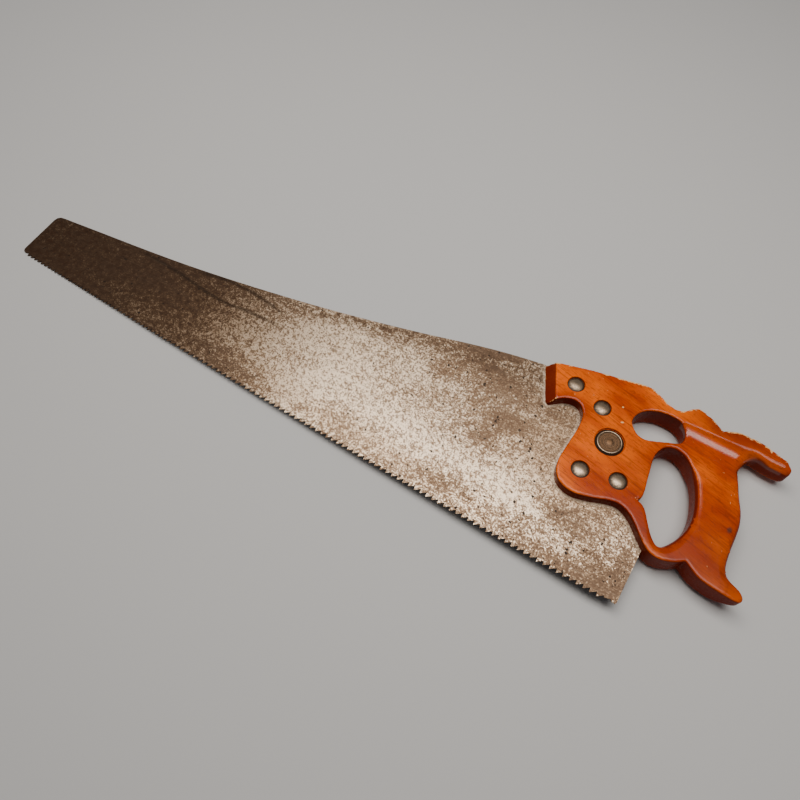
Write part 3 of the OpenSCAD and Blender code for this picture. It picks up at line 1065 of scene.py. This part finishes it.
def radial(piece, at, radius, clean=0.0):
    """Writes how far each point is from a circle on the axis, as a share of the radius. The plating
    is painted lightest on that circle, a painted highlight, and darker away from it.
    """
    co = points(piece)
    off = np.hypot(co[:, 0] - at[0], co[:, 1] - at[1])
    write_attribute(piece, "rim", np.abs(off - clean) / radius)


def plated_material(fitting):
    """Nickel plating gone dull: brown in spots, darker round the edge and light on top. The edge is
    partly dirt and partly painted shade, and the top is a painted highlight for the dome's
    reflection.
    """
    f = Finish("dull_nickel")
    rim = f.attribute("rim")
    spots = f.noise(1.6, 4.0, 0.65, 0.3)
    haze = f.noise(5.0, 2.0, 0.5)
    # Darker away from the circle: partly dirt at the edge, partly painted shade and highlight for
    # the dome's reflection
    dirt = f.total(f.times(f.times(rim, rim), 0.62), (spots, 0.55), (haze, 0.35))
    dull = f.ranged(dirt, 0.36, 0.98)
    return f.done({
        "Base Color": f.mixed(dull, fitting.nickel, fitting.tarnish),
        "Metallic": f.ranged(dull, 0, 1, 0.95, 0.55),
        "Roughness": f.ranged(dull, 0, 1, 0.30, 0.52),
        "Normal": f.bump(f.noise(0.7, 3.0, 0.6), 0.35, 0.05),
    })


def badge_material(fitting):
    """Aged brass with dirt settled between its raised work."""
    f = Finish("aged_brass")
    grime = f.noise(1.2, 4.0, 0.65, 0.2)
    base = f.mixed(f.ranged(grime, 0.35, 0.65), darker(fitting.badge, 0.45), fitting.badge)
    raised = f.times(f.attribute("raised"), 0.6)
    return f.done({
        "Base Color": f.mixed(raised, base, darker(fitting.badge, 1.9)),
        "Metallic": f.ranged(grime, 0.3, 0.7, 0.75, 0.45),
        "Roughness": f.ranged(grime, 0.3, 0.7, 0.42, 0.60),
        "Normal": f.bump(grime, 0.4, 0.06),
    })


def shared(name, make, settings):
    return bpy.data.materials.get(name) or make(settings)


def measured(node):
    """A round node's middle and ends, and its radius in millimetres."""
    low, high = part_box(node)
    return (low + high) / 2, low, high, (high.x - low.x) / 2 / MM


def add_neck_and_shank(bolt, at, seat, low, neck, shank_r, steps):
    """Adds a square neck, given as its width, middle and height, and a round shank."""
    width, middle_at, tall = neck
    square = box_between(
        "neck", (at.x, at.y, seat - middle_at * MM), (width * MM, width * MM, tall * MM)
    )
    carve(bolt, square, "UNION")
    foot = (low.z - seat) / MM
    profile = [(0, foot), (shank_r - 0.5, foot), (shank_r, foot + 0.5), (shank_r, -2), (0, -2)]
    carve(bolt, turned("shank", (at.x, at.y, seat), profile, steps), "UNION")


class HANDSAW_OT_saw_bolts(bpy.types.Operator):
    """Turn the four saw bolts: domed heads, square necks and shanks"""

    bl_idname = "handsaw.saw_bolts"
    bl_label = "Saw bolts"
    bl_options = {"REGISTER", "UNDO"}

    def execute(self, context):
        fitting = context.scene.handsaw_fittings
        plating = shared("dull_nickel", plated_material, fitting)
        for name in SAW_BOLTS:
            at, low, high, radius = measured(f"{name}_bolt")
            seat = high.z - HEAD_HIGH * MM
            head = dome(radius, HEAD_RIM, HEAD_RISE)
            bolt = turned(f"{name}_saw_bolt", (at.x, at.y, seat), head, 56)
            add_neck_and_shank(bolt, at, seat, low, (6.4, 2.2, 4.6), 2.4, 32)
            if name == "upper":
                dent = [(0, -0.55), (0.35, -0.35), (0.55, 0.2), (0, 0.4)]
                carve(bolt, turned("dent", (at.x, at.y, high.z), dent, 20))
            radial(bolt, at, radius * MM)
            finish_piece(bolt, [f"{name}_bolt"], plating)
        return {"FINISHED"}


def saw_nut(bolt, barrel, bore, turn, plating):
    """A slotted domed nut with its threaded barrel, drawn up from the right-hand cheek."""
    at, low, high, radius = measured(f"{bolt}_nut")
    start = low.z + HEAD_HIGH * MM
    seat = (high.z - low.z) / MM - HEAD_HIGH
    face = [(r, -z) for r, z in dome(radius, HEAD_RIM, HEAD_RISE)][1:]
    threaded = [(0, 0.3), (bore, 0.3), (bore, seat), (barrel, seat), (barrel, 0)]
    nut = turned(f"{bolt}_saw_nut", (at.x, at.y, start), threaded + face, 56)
    cutter = box_between(
        "driver_slot", (at.x, at.y, low.z + (SLOT_DEEP / 2 - 0.5) * MM),
        (SLOT_WIDE * MM, 2.4 * radius * MM, (SLOT_DEEP + 1.0) * MM), math.radians(turn),
    )
    carve(nut, cutter)
    radial(nut, at, radius * MM)
    finish_piece(nut, [f"{bolt}_nut"], plating)


class HANDSAW_OT_saw_nuts(bpy.types.Operator):
    """Turn the slotted nuts on the right-hand cheek"""

    bl_idname = "handsaw.saw_nuts"
    bl_label = "Saw nuts"
    bl_options = {"REGISTER", "UNDO"}

    def execute(self, context):
        plating = shared("dull_nickel", plated_material, context.scene.handsaw_fittings)
        for name, turn in zip(SAW_BOLTS, (24, -41, 72, 8)):
            saw_nut(name, 4.0, 2.45, turn, plating)
        saw_nut("medallion", 5.0, 3.25, -15, plating)
        return {"FINISHED"}


def badge_profile(radius, thick):
    """The badge's face from its edge to its middle, with two fine rings and a low boss."""
    rows = [(0, 0), (radius, 0), (radius, thick - 0.1), (radius - 0.1, thick)]
    for ring in (radius - 1.6, radius - 4.2):
        top = thick + RING_HIGH
        rows += [(ring + 0.45, thick), (ring + 0.2, top), (ring - 0.2, top), (ring - 0.45, thick)]
    return rows + [(2.6, thick), (2.0, thick + 0.2), (0.8, top), (0, top)]


class HANDSAW_OT_medallion(bpy.types.Operator):
    """Turn the medallion: its beaded bolt head and its plain badge"""

    bl_idname = "handsaw.medallion"
    bl_label = "Medallion"
    bl_options = {"REGISTER", "UNDO"}

    def execute(self, context):
        fitting = context.scene.handsaw_fittings
        plating = shared("dull_nickel", plated_material, fitting)
        at, low, high, radius = measured("medallion_bolt")
        _, floor, badge_top, badge_r = measured("medallion_badge")
        seat = high.z - HEAD_HIGH * MM
        cup = badge_r + 0.1
        profile = [(0, 0), (radius - 0.1, 0), (radius, 0.1), (radius, 0.75), (radius - 0.15, 0.88)]
        for i in range(13):
            a = math.radians(15 + 165 * i / 12)
            across, up = BEAD * (1 + math.cos(a)), BEAD * (math.sin(a) - 1)
            profile.append((cup + across, HEAD_HIGH + up))
        profile += [(cup, 0.6), (0, 0.6)]
        bolt = turned("medallion_saw_bolt", (at.x, at.y, seat), profile, 96)
        add_neck_and_shank(bolt, at, seat, low, (9, 2.15, 4.7), 3.2, 40)
        # Painted highlight: the plating is lightest along the bead's crest and darker off it
        radial(bolt, at, 1.4 * BEAD * MM, (cup + BEAD) * MM)
        finish_piece(bolt, ["medallion_bolt"], plating)

        thick = (badge_top.z - floor.z) / MM - RING_HIGH
        face = badge_profile(badge_r, thick)
        badge = turned("medallion_disc", (at.x, at.y, floor.z), face, 96)
        grain = [
            (0, thick - 0.2), (0.42, thick - 0.2), (0.42, thick), (0.3, thick + 0.16),
            (0, thick + 0.22),
        ]
        beads, count, ring = [], 28, (badge_r - 2.9) * MM
        for i in range(count):
            a = 2 * math.pi * i / count
            spot = (at.x + ring * math.cos(a), at.y + ring * math.sin(a), floor.z)
            beads.append(turned("bead", spot, grain, 10))
        carve(badge, join(beads), "UNION")
        height = (points(badge)[:, 2] - floor.z) / MM - thick
        write_attribute(badge, "raised", np.clip(height / 0.2, 0, 1))
        brass = shared("aged_brass", badge_material, fitting)
        finish_piece(badge, ["medallion_badge"], brass)
        return {"FINISHED"}


# ---- Stage ----

LAMP_TINT = (1.0, 0.965, 0.92)
LOOKS_AT = (57.0, -31.5, 11.3)  # the point in the middle of the view, in millimetres
REST_AT = (152.0, 0.0)  # the floor touches the nose of the handle here: X and Z in millimetres
TOE_REST = (-376.2, 10.6)  # and the toe here


def floor_material(stage):
    f = Finish("floor")
    tone = f.noise(600, 2.0)
    base = f.mixed(tone, darker(stage.floor, 0.97), stage.floor)
    return f.done({"Base Color": base, "Roughness": 0.75})


def area_light(name, at, target, size, power):
    light = bpy.data.lights.new(name, "AREA")
    light.shape = "RECTANGLE"
    light.size, light.size_y = size
    light.energy = power
    light.color = LAMP_TINT
    holder = new_object(name, light)
    holder.location = at
    holder.rotation_euler = (Vector(target) - Vector(at)).to_track_quat("-Z", "Y").to_euler()


class HANDSAW_OT_stage(bpy.types.Operator):
    """Set the stage: a plain floor that the saw rests on, soft overhead light and the camera"""

    bl_idname = "handsaw.stage"
    bl_label = "Stage"
    bl_options = {"REGISTER", "UNDO"}

    def execute(self, context):
        stage = context.scene.handsaw_stage
        slope = (TOE_REST[1] - REST_AT[1]) / (TOE_REST[0] - REST_AT[0])
        centre = Vector((REST_AT[0] * MM, 0, REST_AT[1] * MM - 0.1 * MM))
        bpy.ops.object.select_all(action="DESELECT")
        bpy.ops.mesh.primitive_plane_add(
            size=12, location=centre, rotation=(0, -math.atan(slope), 0)
        )
        floor = context.object
        floor.name = "floor"
        settle(floor)
        floor.data.materials.append(floor_material(stage))

        target = Vector(LOOKS_AT) * MM
        a, e = stage.azimuth, stage.elevation
        back = Vector((math.sin(a) * math.cos(e), -math.cos(a) * math.cos(e), math.sin(e)))
        camera = new_object("camera", bpy.data.cameras.new("camera"))
        camera.data.sensor_width = 36
        camera.data.lens = stage.lens
        camera.data.clip_start, camera.data.clip_end = 0.01, 100
        camera.location = target + back * stage.distance
        camera.rotation_euler = (-back).to_track_quat("-Z", "Y").to_euler()
        context.scene.camera = camera

        area_light("softbox", (0.10, 0.17, 1.24), (0.10, 0.17, 0), (1.4, 0.60), stage.softbox)
        area_light("ceiling", (-0.25, 0.12, 1.28), (-0.25, 0.12, 0), (1.7, 1.04), stage.ceiling)
        world = bpy.data.worlds.new("room")
        world.use_nodes = True
        ground = world.node_tree.nodes["Background"]
        ground.inputs["Color"].default_value = (0.80, 0.84, 0.90, 1)
        ground.inputs["Strength"].default_value = stage.surround
        context.scene.world = world
        return {"FINISHED"}


# ---- Panel and registration ----

OPERATORS = (
    HANDSAW_OT_stage,
    HANDSAW_OT_handle,
    HANDSAW_OT_blade,
    HANDSAW_OT_saw_bolts,
    HANDSAW_OT_saw_nuts,
    HANDSAW_OT_medallion,
)
SETTINGS = {
    "handsaw_wood": WoodSettings,
    "handsaw_steel": SteelSettings,
    "handsaw_fittings": FittingSettings,
    "handsaw_stage": StageSettings,
}


class HANDSAW_PT_panel(bpy.types.Panel):
    """The saw's pieces and settings"""

    bl_label = "Hand saw"
    bl_idname = "HANDSAW_PT_panel"
    bl_space_type = "VIEW_3D"
    bl_region_type = "UI"
    bl_category = "Hand saw"

    def draw(self, context):
        layout = self.layout
        for operator in OPERATORS:
            layout.operator(operator.bl_idname)
        for name, group in SETTINGS.items():
            box = layout.box()
            for prop in group.__annotations__:
                box.prop(getattr(context.scene, name), prop)


def register():
    for cls in (*SETTINGS.values(), *OPERATORS, HANDSAW_PT_panel):
        bpy.utils.register_class(cls)
    for name, group in SETTINGS.items():
        setattr(bpy.types.Scene, name, bpy.props.PointerProperty(type=group))


def unregister():
    for name in SETTINGS:
        delattr(bpy.types.Scene, name)
    for cls in reversed((*SETTINGS.values(), *OPERATORS, HANDSAW_PT_panel)):
        bpy.utils.unregister_class(cls)


def main():
    register()
    bpy.ops.handsaw.stage()
    bpy.ops.handsaw.handle()
    bpy.ops.handsaw.blade()
    bpy.ops.handsaw.saw_bolts()
    bpy.ops.handsaw.saw_nuts()
    bpy.ops.handsaw.medallion()


if __name__ == "__main__":
    main()
